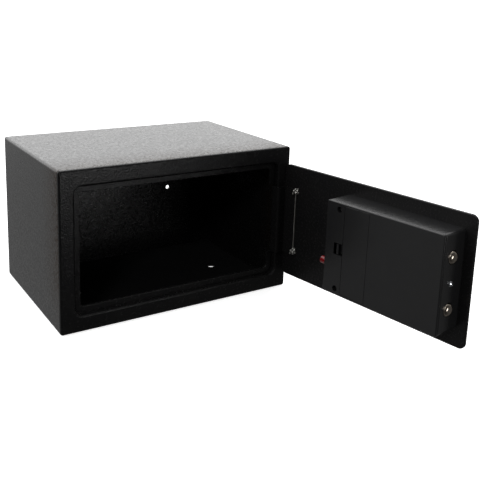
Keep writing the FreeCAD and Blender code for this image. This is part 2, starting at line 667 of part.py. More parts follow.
def make_lock_cover():
    part = body("lock_cover")
    face = value("lock_back")
    extrude(part, "Pad", "XZ_Plane", "seam_y", "lock_back",
            lambda s: rectangle(s, ("lock_left", "lock_right"), ("lock_low", "lock_high")))
    round_edges(part, "lock_radius", along(Y_AXIS))
    round_edges(part, "face_round", lambda e: flat_at(e, "Y", face))
    seam = value("seam_y")
    round_edges(part, "edge_break", lambda e: flat_at(e, "Y", seam))
    extrude(part, "Pocket", "XZ_Plane", "seam_y", "lock_back - lock_wall",
            lambda s: rectangle(s, ("room_left", "room_right"), ("room_low", "room_high")))

    def bosses(s):
        for z in ("pillar_z1", "pillar_z2"):
            circle(s, "pillar_x", z, "recess_radius + 1.2")
    extrude(part, "Pad", "XZ_Plane", "pillar_y", "lock_back - lock_wall", bosses)

    def board_bosses(s):
        for x, z in BOARD_SCREWS:
            circle(s, x, z, "3")
    extrude(part, "Pad", "XZ_Plane", "board_y + 1.6", "lock_back - lock_wall", board_bosses)

    def recesses(s):
        for z in ("pillar_z1", "pillar_z2"):
            circle(s, "pillar_x", z, "recess_radius")
    extrude(part, "Pocket", "XZ_Plane", "pillar_y + 2", "lock_back", recesses)

    def shanks(s):
        for z in ("pillar_z1", "pillar_z2"):
            circle(s, "pillar_x", z, "screw_radius")
    extrude(part, "Pocket", "XZ_Plane", "pillar_y", "pillar_y + 2", shanks)

    def threads(s):
        for x, z in BOARD_SCREWS:
            circle(s, x, z, "screw_radius")
    extrude(part, "Pocket", "XZ_Plane", "board_y + 1.6", "lock_back - lock_wall", threads)
    extrude(part, "Pocket", "XZ_Plane", "lock_back - lock_wall", "lock_back",
            lambda s: rectangle(s, ("panel_x1", "panel_x2"), ("room_low", "room_high")))
    extrude(part, "Pocket", "XZ_Plane", "lock_back - lock_wall", "lock_back",
            lambda s: rectangle(s, ("panel_x2", "panel_x2 + latch_wide"),
                                ("latch_z - latch_tall / 2", "latch_z + latch_tall / 2")))
    node(part, "lock_cover")


def make_battery_cover():
    part = body("battery_cover")
    under = "lock_back - lock_wall"
    extrude(part, "Pad", "XZ_Plane", under, "lock_back",
            lambda s: rectangle(s, ("panel_x1 + panel_clearance", "panel_x2 - panel_clearance"),
                                ("room_low + panel_clearance", "room_high - panel_clearance")))
    face = value("lock_back")
    round_edges(part, "panel_round", lambda e: flat_at(e, "Y", face))
    reach = ("latch_z - latch_tall / 2 + 1", "latch_z + latch_tall / 2 - 1")
    # A springy tongue under the panel ends in the finger bar of the latch.
    tongue, root, bar = f"{under} - latch_sunk", "panel_x2 - 2.4", "panel_x2 + latch_gap"
    extrude(part, "Pad", "XZ_Plane", tongue, under,
            lambda s: rectangle(s, (root, "panel_x2 - panel_clearance"), reach))
    extrude(part, "Pad", "XZ_Plane", tongue, f"{tongue} + 1.2",
            lambda s: rectangle(s, (root, f"{bar} + latch_bar"), reach))
    extrude(part, "Pad", "XZ_Plane", tongue, "lock_back - 0.3",
            lambda s: rectangle(s, (bar, f"{bar} + latch_bar"), reach))
    node(part, "battery_cover")


# ---------------------------------------------------------------- battery compartment
def make_battery_tray():
    inner, outer = "panel_x1 + 0.3", "panel_x2 - 0.3"
    ends = ("room_low + 0.2", "room_high - 0.2")
    floor = box("tray_floor", (inner, outer), ("tray_y - 1.5", "tray_y"), ends)
    ribs = [box("tray_rib", span, ("tray_y", "tray_y + 8"), ends)
            for span in ((inner, f"{inner} + 1.2"), (f"{outer} - 1.2", outer))]
    ribs.append(box("tray_middle_rib", ("panel_mid - 0.3", "panel_mid + 0.3"),
                    ("tray_y", "tray_y + 4"), ("room_low + 2", "room_high - 2")))
    legs = [box("tray_leg", (inner, outer), ("base_y", "tray_y - 1.5"), (low, f"{low} + 2"))
            for low in ("room_low + 4", "room_high - 6")]
    node(fuse("battery_tray", floor, *ribs, *legs), "battery_tray")


def make_aa_cells():
    # Two columns of two cells; the terminals point up in one column and down in the other.
    middle = "(room_low + room_high) / 2"
    number = 0
    for column, side in enumerate(("-", "+")):
        at = (f"panel_mid {side} (cell_radius + 0.5)", "cell_y")
        for low in (f"{middle} - 0.6 - cell_long", f"{middle} + 0.6"):
            number += 1
            high = f"{low} + cell_long"
            can = (low, f"{high} - 1") if column == 0 else (f"{low} + 1", high)
            tip = (f"{high} - 1", high) if column == 0 else (low, f"{low} + 1")
            pieces = (rod("cell_can", "z", at, "cell_radius", *can),
                      rod("cell_tip", "z", at, "2.75", *tip))
            node(fuse(f"aa_cell_{number}", *pieces), f"aa_cell_{number}")


def make_battery_contacts():
    high = ("tray_y", "tray_y + 13")
    left = ("panel_x1 + 2.5", "panel_mid - 1")
    right = ("panel_mid + 1", "panel_x2 - 2.5")
    middle = "(room_low + room_high) / 2"
    strips = [box("contact_link", ("panel_x1 + 2.5", "panel_x2 - 2.5"), high,
                  ("room_low + 0.4", "room_low + 0.4 + contact_thick"))]
    for span in (left, right):
        strips.append(box("contact_end", span, high,
                          ("room_high - 0.4 - contact_thick", "room_high - 0.4")))
        strips.append(box("contact_middle", span, high,
                          (f"{middle} - contact_thick / 2", f"{middle} + contact_thick / 2")))
    node(group("battery_contacts", *strips), "battery_contacts")


# ---------------------------------------------------------------- bolt work
def make_locking_bolts():
    end = "bolt_length"
    tail = "bolt_length + carrier_thick + 1"
    profile = [("0", "0"), ("0", "bolt_radius"), (end, "bolt_radius"), (end, "spigot_radius"),
               (tail, "spigot_radius"), (tail, "0")]
    tip = value("bolt_tip")
    for name, height in (("locking_bolt_lower", "bolt_z1"), ("locking_bolt_upper", "bolt_z2")):
        part = body(name)
        revolve(part, "XZ_Plane", "bolt_y", ("bolt_tip", height), profile)
        round_edges(part, "bolt_round", lambda e: flat_at(e, "X", tip))
        node(part, name)


def make_bolt_carrier():
    part = body("bolt_carrier")
    extrude(part, "Pad", "YZ_Plane", "carrier_x", "carrier_x + carrier_thick",
            lambda s: rectangle(s, ("arm_y", "bolt_y + 9"), ("bolt_z1 - 9", "bolt_z2 + 9")))

    def ramp(x):
        return f"ramp_z - ramp_fall * ({x} - plunger_x)"
    top, tail = "plunger_x - 12", "plunger_x + 14"
    extrude(part, "Pad", "XZ_Plane", "arm_y", "arm_y + carrier_thick",
            lambda s: polygon(s, [("carrier_x", "spindle_z - 17"), (tail, "spindle_z - 17"),
                                  (tail, ramp(tail)), (top, ramp(top)), ("carrier_x", ramp(top))]))
    half = "(crank_pin_radius + slot_clearance)"
    extrude(part, "Pocket", "XZ_Plane", "arm_y", "arm_y + carrier_thick",
            lambda s: rectangle(s, (f"pin_x - {half}", f"pin_x + {half}"),
                                ("pin_z - crank_pin_radius - 0.7",
                                 "spindle_z + crank_r + crank_pin_radius + 0.7")))

    def tails(s):
        for z in ("bolt_z1", "bolt_z2"):
            circle(s, "bolt_y", z, "spigot_radius")
    extrude(part, "Pocket", "YZ_Plane", "carrier_x", "carrier_x + carrier_thick", tails)
    node(part, "bolt_carrier")


def make_bolt_guide():
    part = body("bolt_guide")
    wall = ("room_left", "room_left + 2.5")
    extrude(part, "Pad", "YZ_Plane", wall[0], wall[1],
            lambda s: rectangle(s, ("base_y", "bolt_y + 12"), ("bolt_z1 - 12", "bolt_z2 + 12")))
    extrude(part, "Pad", "XZ_Plane", "base_y", "base_y + 2.5",
            lambda s: rectangle(s, (wall[0], "room_left + 20"), ("bolt_z1 - 12", "bolt_z2 + 12")))

    def holes(s):
        for z in ("bolt_z1", "bolt_z2"):
            circle(s, "bolt_y", z, "bolt_radius + bolt_clearance")
        circle(s, "bolt_y", "spindle_z", "guide_shank")
    extrude(part, "Pocket", "YZ_Plane", wall[0], wall[1], holes)
    node(part, "bolt_guide")


def make_guide_screw():
    part = body("guide_screw")
    profile = [("-2.2", "0"), ("-2.2", "1.2"), ("-1.4", "2.6"), ("-0.4", "guide_head"),
               ("0", "guide_head"), ("0", "guide_shank"), ("7", "guide_shank"), ("7", "0")]
    revolve(part, "XZ_Plane", "bolt_y", ("lock_left", "spindle_z"), profile)
    extrude(part, "Pocket", "YZ_Plane", "lock_left - 2.2", "lock_left - 1.2",
            lambda s: rectangle(s, ("bolt_y - 0.4", "bolt_y + 0.4"),
                                ("spindle_z - 2.2", "spindle_z + 2.2")))
    node(part, "guide_screw")


# ---------------------------------------------------------------- knob and spindle
KNOB_FLUTES = 12


def make_turn_knob():
    part = body("turn_knob")
    back = "fascia_face - 0.6"
    front = f"{back} - knob_tall"
    extrude(part, "Pad", "XZ_Plane", front, back,
            lambda s: circle(s, "0", "0", "knob_radius"), at=("spindle_x", "spindle_z"))
    face = value("fascia_face") - 0.6 - value("knob_tall")
    round_edges(part, "1.5", lambda e: flat_at(e, "Y", face))
    flute = extrude(part, "Pocket", "XZ_Plane", front, f"{back} - 3",
                    lambda s: circle(s, "knob_radius + flute_radius * 0.55", "0", "flute_radius"),
                    at=("spindle_x", "spindle_z"))
    ring = part.newObject("PartDesign::PolarPattern", "knob_flutes")
    ring.Originals = [flute]
    ring.Axis = (flute.Profile[0], ["N_Axis"])
    ring.Angle = 360
    ring.Occurrences = KNOB_FLUTES
    part.Tip = ring
    extrude(part, "Pocket", "XZ_Plane", f"{back} - 11", back,
            lambda s: circle(s, "spindle_x", "spindle_z", "spindle_radius"))
    # A sunk line on the face shows which way the knob stands.
    extrude(part, "Pocket", "XZ_Plane", front, f"{front} + 0.8",
            lambda s: rectangle(s, ("spindle_x - 0.9", "spindle_x + 0.9"),
                                ("spindle_z + 4", "spindle_z + knob_radius - 3")))
    node(part, "turn_knob")


def make_knob_spindle():
    at = ("spindle_x", "spindle_z")
    shaft = rod("spindle_shaft", "y", at, "spindle_radius", "fascia_face - 11.6", "disc_y")
    disc = rod("crank_disc", "y", at, "crank_r + crank_pin_radius + 0.5", "disc_y", "disc_y + 3")
    pin = rod("crank_pin", "y", ("pin_x", "pin_z"), "crank_pin_radius", "disc_y + 3",
              "arm_y + carrier_thick + 1.3")
    node(fuse("knob_spindle", shaft, disc, pin), "knob_spindle")


def make_spindle_bush():
    at = ("spindle_x", "spindle_z")
    barrel = rod("bush_barrel", "y", at, "spindle_radius + 2", "outer_y - 2", "inner_y")
    flange = rod("bush_flange", "y", at, "spindle_radius + 4", "inner_y", "inner_y + 1.5")
    bore = rod("bush_bore", "y", at, "spindle_radius + pin_clearance", "outer_y - 2",
               "inner_y + 1.5")
    node(cut("spindle_bush", fuse("bush_outer", barrel, flange), bore), "spindle_bush")


# ---------------------------------------------------------------- solenoid
def make_solenoid():
    middle_y = "arm_y + carrier_thick / 2"
    at = ("plunger_x", middle_y)
    span = ("plunger_x - 11", "plunger_x + 11")
    plate = box("solenoid_back", span, ("inner_y", "inner_y + 1.5"),
                ("coil_low - 1.7", "coil_high + 9"))
    arms = [box("solenoid_arm", span, ("inner_y", f"{middle_y} + 9.5"), (low, f"{low} + 1.5"))
            for low in ("coil_low - 1.7", "coil_high + 7.5")]
    holes = [rod("arm_hole", "z", at, "plunger_radius + 0.3", "coil_low - 1.7", "coil_low"),
             rod("stem_hole", "z", at, "2.3", "coil_high + 7", "coil_high + 9")]
    node(cut("solenoid_frame", fuse("solenoid_bracket", plate, *arms), *holes), "solenoid_frame")
    coil = rod("coil_winding", "z", at, "coil_radius", "coil_low - 0.2", "coil_high")
    bore = rod("coil_bore", "z", at, "plunger_radius + 0.08", "coil_low - 0.2", "coil_high")
    node(cut("solenoid_coil", coil, bore), "solenoid_coil")
    tip = "ramp_z + 0.5"
    part = body("solenoid_plunger")
    profile = [("0", tip), ("1", tip), ("plunger_radius", f"{tip} + 2.1"),
               ("plunger_radius", "coil_high + 3.4"), ("5", "coil_high + 3.4"),
               ("5", "coil_high + 4.6"), ("2", "coil_high + 4.6"), ("2", "coil_high + 11"),
               ("0", "coil_high + 11")]
    revolve(part, "XZ_Plane", middle_y, ("plunger_x", "0"), profile, axis="V_Axis")
    node(part, "solenoid_plunger")

    # The return spring is pressed between the collar and the upper arm.
    wire, coil_r, turns = 0.35, 3.4, 3
    tall = 2.9 - 2 * wire - 0.2
    helix = Part.makeHelix(tall / turns, tall, coil_r)
    start = App.Vector(coil_r, 0, 0)
    section = Part.Wire(Part.makeCircle(wire, start, App.Vector(0, 1, 0)))
    shape = Part.Wire(helix.Edges).makePipeShell([section], True, True)
    spring = doc.addObject("Part::Feature", "plunger_spring")
    spring.Shape = shape
    foot = tied(f"vector(plunger_x; {middle_y}; coil_high + 5.05)")
    spring.setExpression("Placement", f"placement({foot}; {TURN['z']})")
    node(spring, "plunger_spring")


# ---------------------------------------------------------------- electronics
def make_control_board():
    part = body("control_board")

    def outline(s):
        rectangle(s, ("room_left + 32", "panel_x1 - 7"), ("room_low + 8", "room_high - 8"))
        for x, z in BOARD_SCREWS:
            circle(s, x, z, "screw_radius")
    extrude(part, "Pad", "XZ_Plane", "board_y", "board_y + 1.6", outline)
    node(part, "control_board")
    under = "board_y"
    chips = [box("processor", ("plunger_x - 6", "plunger_x + 6"), (f"{under} - 1.2", under),
                 ("spindle_z - 6", "spindle_z + 6")),
             box("plug_socket", ("plunger_x + 8", "plunger_x + 20"), (f"{under} - 5", under),
                 ("room_low + 20", "room_low + 26")),
             box("driver", ("plunger_x + 12", "plunger_x + 18"), (f"{under} - 2", under),
                 ("spindle_z + 14", "spindle_z + 22"))]
    cans = [rod("capacitor", "y", (f"plunger_x + {dx}", "room_low + 36"), "3", f"{under} - 6", under)
            for dx in (2, 12)]
    node(group("board_components", *chips, *cans), "board_components")


def make_reset_parts():
    at = ("reset_y", "reset_z")
    stem = rod("reset_stem", "x", at, "reset_radius", "room_right - 1", "lock_right + reset_proud")
    rim = rod("reset_rim", "x", at, "reset_radius + 1", "room_right - 2.4", "room_right - 0.4")
    node(fuse("reset_button", stem, rim), "reset_button")
    node(box("reset_switch", ("room_right - 12", "room_right - 4.5"),
             ("reset_y - 4", "lock_back - lock_wall"), ("reset_z - 5", "reset_z + 5")),
         "reset_switch")


# ---------------------------------------------------------------- keypad
COLUMNS, ROWS = 3, 4
KEY_NAMES = [["clear", "0", "enter"], ["7", "8", "9"], ["4", "5", "6"], ["1", "2", "3"]]


def key_spots():
    """Name and centre of each key, from the lowest row up."""
    for row in range(ROWS):
        for column in range(COLUMNS):
            yield (KEY_NAMES[row][column], f"(key_x + {column} * key_pitch_x)",
                   f"(key_z + {row} * key_pitch_z)")


def make_keypad_fascia():
    part = body("keypad_fascia")
    extrude(part, "Pad", "XZ_Plane", "fascia_face", "outer_y",
            lambda s: rectangle(s, ("fascia_left", "fascia_right"), ("fascia_low", "fascia_high")))
    round_edges(part, "fascia_radius", along(Y_AXIS))
    face = value("fascia_face")
    round_edges(part, "1.5", lambda e: flat_at(e, "Y", face))
    extrude(part, "Pocket", "XZ_Plane", "fascia_in", "outer_y",
            lambda s: rectangle(s, ("fascia_left + fascia_wall", "fascia_right - fascia_wall"),
                                ("fascia_low + fascia_wall", "fascia_high - fascia_wall")))

    def bosses(s):
        for x, z in FASCIA_SCREWS:
            circle(s, x, z, "2.8")
    extrude(part, "Pad", "XZ_Plane", "fascia_in", "outer_y", bosses)

    def threads(s):
        for x, z in FASCIA_SCREWS:
            circle(s, x, z, "screw_radius")
    extrude(part, "Pocket", "XZ_Plane", "fascia_in", "outer_y", threads)

    def openings(s):
        circle(s, "spindle_x", "spindle_z", "spindle_radius + 2")
        circle(s, "spindle_x", "cylinder_z", "cylinder_radius + 1.7")
        rectangle(s, ("key_x - 5", "key_x + 2 * key_pitch_x + 5"), ("window_z - 6", "window_z + 6"))
        for _, x, z in key_spots():
            half_w, half_h = "(key_wide / 2 + key_clearance)", "(key_tall / 2 + key_clearance)"
            rectangle(s, (f"{x} - {half_w}", f"{x} + {half_w}"),
                      (f"{z} - {half_h}", f"{z} + {half_h}"))
    extrude(part, "Pocket", "XZ_Plane", "fascia_face", "fascia_in", openings)
    node(part, "keypad_fascia")


def make_keys():
    for name, x, z in key_spots():
        part = body("key_" + name)
        half_w, half_h = "key_wide / 2", "key_tall / 2"
        extrude(part, "Pad", "XZ_Plane", "fascia_face - key_proud", "fascia_in + 0.1",
                lambda s: rectangle(s, (f"{x} - {half_w}", f"{x} + {half_w}"),
                                    (f"{z} - {half_h}", f"{z} + {half_h}")))
        round_edges(part, "key_radius / 2", along(Y_AXIS))
        face = value("fascia_face") - value("key_proud")
        round_edges(part, "0.6", lambda e: flat_at(e, "Y", face))
        extrude(part, "Pad", "XZ_Plane", "fascia_in + 0.1", "fascia_in + 0.1 + key_rim",
                lambda s: rectangle(s, (f"{x} - {half_w} - key_rim", f"{x} + {half_w} + key_rim"),
                                    (f"{z} - {half_h} - key_rim", f"{z} + {half_h} + key_rim")))
        node(part, "key_" + name)


def make_keypad_inside():
    board = box("keypad_board", ("key_x - 9", "key_x + 2 * key_pitch_x + 9"),
                ("outer_y - 2", "outer_y"), ("key_z - 8", "key_z + 3 * key_pitch_z + 8"))
    node(board, "keypad_board")
    mat = box("dome_sheet", ("key_x - 9", "key_x + 2 * key_pitch_x + 9"),
              ("outer_y - 2.6", "outer_y - 2"), ("key_z - 8", "key_z + 3 * key_pitch_z + 8"))
    domes = [rod("dome", "y", (x, z), "4", "outer_y - 4.6", "outer_y - 2.6")
             for _, x, z in key_spots()]
    node(fuse("dome_mat", mat, *domes), "dome_mat")
    span = ("key_x - 5", "key_x + 2 * key_pitch_x + 5")
    node(box("display_window", span, ("fascia_face + 0.3", "fascia_in"),
             ("window_z - 6", "window_z + 6")), "display_window")
    node(box("display_module", span, ("fascia_in", "outer_y"), ("window_z - 6", "window_z + 6")),
         "display_module")


# ---------------------------------------------------------------- override lock
def make_override_lock():
    at = ("spindle_x", "cylinder_z")
    head = rod("cylinder_head", "y", at, "cylinder_radius + 1.5", "fascia_face + 1", "outer_y")
    barrel = rod("cylinder_barrel", "y", at, "cylinder_radius", "outer_y", "inner_y + 14")
    bore = rod("cylinder_bore", "y", at, "plug_radius + pin_clearance", "fascia_face + 1",
               "inner_y + 14")
    node(cut("key_cylinder", fuse("cylinder_outer", head, barrel), bore), "key_cylinder")
    nut = doc.addObject("Part::Prism", "nut_blank")
    nut.Polygon = 6
    nut.setExpression("Circumradius", tied("cylinder_radius + 3"))
    nut.Height = 3
    base = tied("vector(spindle_x; inner_y; cylinder_z)")
    nut.setExpression("Placement", f"placement({base}; {TURN['y']})")
    thread = rod("nut_thread", "y", at, "cylinder_radius", "inner_y", "inner_y + 3")
    node(cut("cylinder_nut", nut, thread), "cylinder_nut")
    plug = rod("plug_core", "y", at, "plug_radius", "fascia_face + 1", "inner_y + 14.6")
    tail = box("plug_tail", ("spindle_x - 3", "spindle_x + 9"), ("inner_y + 14.6", "inner_y + 16.4"),
               ("cylinder_z - 2.5", "cylinder_z + 2.5"))
    keyway = box("keyway", ("spindle_x - 0.6", "spindle_x + 0.6"),
                 ("fascia_face + 1", "fascia_face + 8"), ("cylinder_z - 3", "cylinder_z + 3"))
    node(cut("key_plug", fuse("plug_solid", plug, tail), keyway), "key_plug")
    disc = rod("cap_disc", "y", at, "cap_radius", "fascia_face - 1.6", "fascia_face")
    spigot = rod("cap_spigot", "y", at, "cylinder_radius + 1", "fascia_face", "fascia_face + 0.8")
    node(fuse("override_cap", disc, spigot), "override_cap")


# ---------------------------------------------------------------- fasteners
def pan_head_screw(name, x, z, seat, length, towards):
    """A screw along Y, its head on the near side of the seat, its shank the other way."""
    head_end, tip = f"{seat} - ({towards}) * 2", f"{seat} + ({towards}) * {length}"
    forward = towards == "1"
    head = rod(name + "_head", "y", (x, z), "screw_head", *((head_end, seat) if forward
                                                            else (seat, head_end)))
    shank = rod(name + "_shank", "y", (x, z), "screw_radius", *((seat, tip) if forward
                                                                else (tip, seat)))
    return fuse(name, head, shank)


def make_fasteners():
    screws = [pan_head_screw("housing_screw", x, z, "base_y", 5, "-1") for x, z in HOUSING_SCREWS]
    screws += [pan_head_screw("fascia_screw", x, z, "inner_y", 9, "-1") for x, z in FASCIA_SCREWS]
    screws += [pan_head_screw("board_screw", x, z, "board_y", 5, "1") for x, z in BOARD_SCREWS]
    node(group("pan_head_screws", *screws), "pan_head_screws")
    pillars, fixings = [], []
    for z in ("pillar_z1", "pillar_z2"):
        post = rod("pillar_post", "y", ("pillar_x", z), "3.4", "base_y", "pillar_y")
        bore = rod("pillar_bore", "y", ("pillar_x", z), "screw_radius", "pillar_y - 8", "pillar_y")
        pillars.append(cut("pillar", post, bore))
        head = rod("cover_screw_head", "y", ("pillar_x", z), "screw_head", "pillar_y + 2",
                   "pillar_y + 3.6")
        shank = rod("cover_screw_shank", "y", ("pillar_x", z), "screw_radius", "pillar_y - 7",
                    "pillar_y + 2")
        fixings.append(fuse("cover_screw", head, shank))
    node(group("cover_pillars", *pillars), "cover_pillars")
    node(group("cover_screws", *fixings), "cover_screws")


# ---------------------------------------------------------------- build, check, write
for make in (make_body_wrapper, make_rear_panel, make_front_frame, make_floor_mat,
             make_strike_channel, make_hinge_fixings, make_door_plate, make_hinge_plate,
             make_hinge_welds, make_lock_housing, make_lock_cover, make_battery_cover,
             make_battery_tray, make_aa_cells, make_battery_contacts, make_locking_bolts,
             make_bolt_carrier, make_bolt_guide, make_guide_screw, make_turn_knob,
             make_knob_spindle, make_spindle_bush, make_solenoid, make_control_board,
             make_reset_parts, make_keypad_fascia, make_keys, make_keypad_inside,
             make_override_lock, make_fasteners):
    make()
doc.recompute()

for item in doc.Objects:
    if "Invalid" in item.State or "Error" in item.State:
        raise RuntimeError(f"{item.Label} failed: {item.State}")
    if item.TypeId == "PartDesign::Pocket":
        before, after = item.BaseFeature.Shape.Volume, item.Shape.Volume
        if after > before - NEAR:
            raise RuntimeError(f"{item.Label} cuts nothing")
for piece in NODES:
    if piece.Shape.isNull() or not piece.Shape.isValid() or not piece.Shape.Solids:
        raise RuntimeError(f"{piece.Label} has no valid solid")

os.makedirs("parts", exist_ok=True)
for piece in NODES:
    piece.Shape.exportStep(f"parts/{piece.Label}.step")
print(len(NODES), "sub-parts written")
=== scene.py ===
import json
import math

import bpy
from mathutils import Matrix, Vector


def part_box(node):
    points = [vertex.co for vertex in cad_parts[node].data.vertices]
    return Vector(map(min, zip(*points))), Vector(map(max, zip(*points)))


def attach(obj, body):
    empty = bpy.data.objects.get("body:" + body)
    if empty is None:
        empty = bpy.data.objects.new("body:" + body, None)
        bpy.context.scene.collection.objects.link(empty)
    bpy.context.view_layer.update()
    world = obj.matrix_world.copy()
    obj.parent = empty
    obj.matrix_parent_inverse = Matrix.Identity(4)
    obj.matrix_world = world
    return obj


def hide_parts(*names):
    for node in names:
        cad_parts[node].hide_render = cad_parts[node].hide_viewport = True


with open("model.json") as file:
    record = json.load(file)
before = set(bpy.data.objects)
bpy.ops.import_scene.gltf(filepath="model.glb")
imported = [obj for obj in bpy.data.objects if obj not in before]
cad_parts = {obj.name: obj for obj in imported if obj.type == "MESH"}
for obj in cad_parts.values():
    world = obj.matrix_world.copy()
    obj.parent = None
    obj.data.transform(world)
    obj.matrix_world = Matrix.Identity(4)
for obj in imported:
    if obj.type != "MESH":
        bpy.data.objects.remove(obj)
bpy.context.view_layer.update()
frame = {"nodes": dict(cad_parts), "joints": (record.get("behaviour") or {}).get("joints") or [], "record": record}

MM = 0.001
NODES = frame["nodes"]
MOUNTS = {mount["name"]: mount for mount in frame["record"]["mounts"]}
HINGE = next(joint for joint in frame["joints"] if joint["name"] == "door_hinge")
DOOR_SWING = -math.radians(HINGE["range_deg"][0])


# ---------------------------------------------------------------- where things are
def door_turn(angle):
    """The turn of the whole door about its hinge pin, by an angle in radians."""
    pin = Matrix.Translation(Vector(HINGE["pos_m"]))
    return pin @ Matrix.Rotation(angle, 4, "Z") @ pin.inverted()


# The turn that carries a shut door to where it stands at rest, and the one that takes it back.
OPENED = door_turn(DOOR_SWING)
SHUT = door_turn(-DOOR_SWING)


def shut_box(node):
    """Lowest and highest corner of a door node as it stands with the door shut."""
    spots = [SHUT @ vertex.co for vertex in NODES[node].data.vertices]
    low = Vector([min(spot[axis] for spot in spots) for axis in range(3)])
    high = Vector([max(spot[axis] for spot in spots) for axis in range(3)])
    return low, high


# ---------------------------------------------------------------- finishes
def set_range(span, start, end, low, high):
    """A Map Range node that carries start..end to low..high."""
    for socket, number in (("From Min", start), ("From Max", end), ("To Min", low), ("To Max", high)):
        span.inputs[socket].default_value = number


class Finish:
    """One material: a Principled shader with the textures that are wired into it."""

    def __init__(self, name, colour, roughness, metallic=0.0):
        self.material = bpy.data.materials.new(name)
        self.material.use_nodes = True
        self.nodes = self.material.node_tree.nodes
        self.links = self.material.node_tree.links
        self.shader = self.nodes["Principled BSDF"]
        self.shader.inputs["Base Color"].default_value = (*colour, 1.0)
        self.shader.inputs["Roughness"].default_value = roughness
        self.shader.inputs["Metallic"].default_value = metallic
        self.place = self.nodes.new("ShaderNodeTexCoord").outputs["Object"]

    def set(self, **sockets):
        """Plain numbers on the shader's own sockets, such as coat_weight=0.3."""
        for name, number in sockets.items():
            socket = name.replace("_", " ").title().replace("Ior", "IOR")
            self.shader.inputs[socket].default_value = number
        return self

    def stretched(self, across, along, up):
        """Object coordinates, scaled so that a pattern runs along one direction."""
        mapping = self.nodes.new("ShaderNodeMapping")
        mapping.inputs["Scale"].default_value = (across, along, up)
        self.links.new(self.place, mapping.inputs["Vector"])
        return mapping.outputs["Vector"]

    def grain(self, size, detail=2.0, place=None):
        """Soft noise whose lumps are about this many metres across."""
        noise = self.nodes.new("ShaderNodeTexNoise")
        noise.inputs["Scale"].default_value = 1.0 / size
        noise.inputs["Detail"].default_value = detail
        self.links.new(place or self.place, noise.inputs["Vector"])
        return noise.outputs["Fac"]

    def pebbles(self, size, softness=0.6):
        """Rounded cells about this many metres apart."""
        cells = self.nodes.new("ShaderNodeTexVoronoi")
        cells.feature = "SMOOTH_F1"
        cells.inputs["Scale"].default_value = 1.0 / size
        cells.inputs["Smoothness"].default_value = softness
        self.links.new(self.place, cells.inputs["Vector"])
        return cells.outputs["Distance"]

    def between(self, amount, low, high, start=0.0, end=1.0):
        """The amount, moved from start..end to low..high."""
        span = self.nodes.new("ShaderNodeMapRange")
        set_range(span, start, end, low, high)
        self.links.new(amount, span.inputs["Value"])
        return span.outputs["Result"]

    def product(self, first, second):
        """Two amounts multiplied."""
        multiply = self.nodes.new("ShaderNodeMath")
        multiply.operation = "MULTIPLY"
        self.links.new(first, multiply.inputs[0])
        self.links.new(second, multiply.inputs[1])
        return multiply.outputs[0]

    def mixed(self, amount, first, second):
        """Two colours mixed by an amount."""
        mix = self.nodes.new("ShaderNodeMix")
        mix.data_type = "RGBA"
        self.links.new(amount, mix.inputs["Factor"])
        for socket, colour in ((mix.inputs[6], first), (mix.inputs[7], second)):
            if isinstance(colour, tuple):
                socket.default_value = (*colour, 1.0)
            else:
                self.links.new(colour, socket)
        return mix.outputs[2]

    def bumps(self, *heights):
        """Heights as (amount, depth in metres) pairs, laid over each other."""
        normal = None
        for amount, depth in heights:
            bump = self.nodes.new("ShaderNodeBump")
            bump.inputs["Distance"].default_value = depth
            self.links.new(amount, bump.inputs["Height"])
            if normal:
                self.links.new(normal, bump.inputs["Normal"])
            normal = bump.outputs["Normal"]
        self.links.new(normal, self.shader.inputs["Normal"])
        return self

    def wire(self, output, socket):
        """An amount or a colour wired to one of the shader's sockets."""
        self.links.new(output, self.shader.inputs[socket])
        return self


COAT_BLACK = (0.011, 0.011, 0.0115)
COAT_DARKER, COAT_LIGHTER = (0.009, 0.009, 0.010), (0.015, 0.0145, 0.014)
# The brown, less shiny film is full at the front edge and gone further back; it thins out towards the floor
# (metres).
BROWN_PATCH_FRONT, BROWN_PATCH_BACK = -0.0985, -0.045
BROWN_PATCH_LOW, BROWN_PATCH_FULL = 0.02, 0.06
BROWN_PATCH_COLOUR, BROWN_PATCH_SHINE = (0.030, 0.019, 0.012), 0.02


def powder_coat(name, grain, depth, roughness, shine=0.5, brown_patch=False):
    """Black powder coat, baked to a fine pebbled skin; with the brown patch option, less shiny and brown near the
    front edge.
    """
    coat = Finish(name, COAT_BLACK, roughness)
    coat.set(specular_ior_level=shine)
    colour = coat.mixed(coat.grain(0.03, 3.0), COAT_DARKER, COAT_LIGHTER)
    if brown_patch:
        # Brown and less shiny towards the front edge, weaker near the floor, broken up by specks.
        spot = coat.nodes.new("ShaderNodeSeparateXYZ")
        coat.links.new(coat.place, spot.inputs["Vector"])
        forward = coat.between(spot.outputs["Y"], 1.0, 0.0, BROWN_PATCH_FRONT, BROWN_PATCH_BACK)
        above = coat.between(spot.outputs["Z"], 0.25, 1.0, BROWN_PATCH_LOW, BROWN_PATCH_FULL)
        specks = coat.between(coat.grain(0.0022, 4.0), 0.35, 1.0, 0.42, 0.6)
        film = coat.product(coat.product(forward, above), specks)
        colour = coat.mixed(film, colour, BROWN_PATCH_COLOUR)
        coat.wire(coat.between(film, shine, BROWN_PATCH_SHINE), "Specular IOR Level")
    coat.wire(colour, "Base Color")
    coat.wire(coat.between(coat.grain(grain * 2.5), roughness - 0.08, roughness + 0.08, 0.3, 0.7),
              "Roughness")
    return coat.bumps((coat.pebbles(grain), depth), (coat.grain(grain * 0.45), depth * 0.35)).material


def moulded_plastic(name, colour, roughness, texture, shine=0.5):
    """Satin injection moulding: an eroded texture with a slow sink and flow in the wall."""
    plastic = Finish(name, colour, roughness)
    plastic.set(specular_ior_level=shine)
    lighter = tuple(channel * 1.25 for channel in colour)
    plastic.wire(plastic.mixed(plastic.grain(0.02, 4.0), colour, lighter), "Base Color")
    plastic.wire(plastic.between(plastic.grain(0.004), roughness - 0.05, roughness + 0.05), "Roughness")
    return plastic.bumps((plastic.grain(0.05, 1.0), 0.00025), (plastic.grain(texture), 0.00002)).material


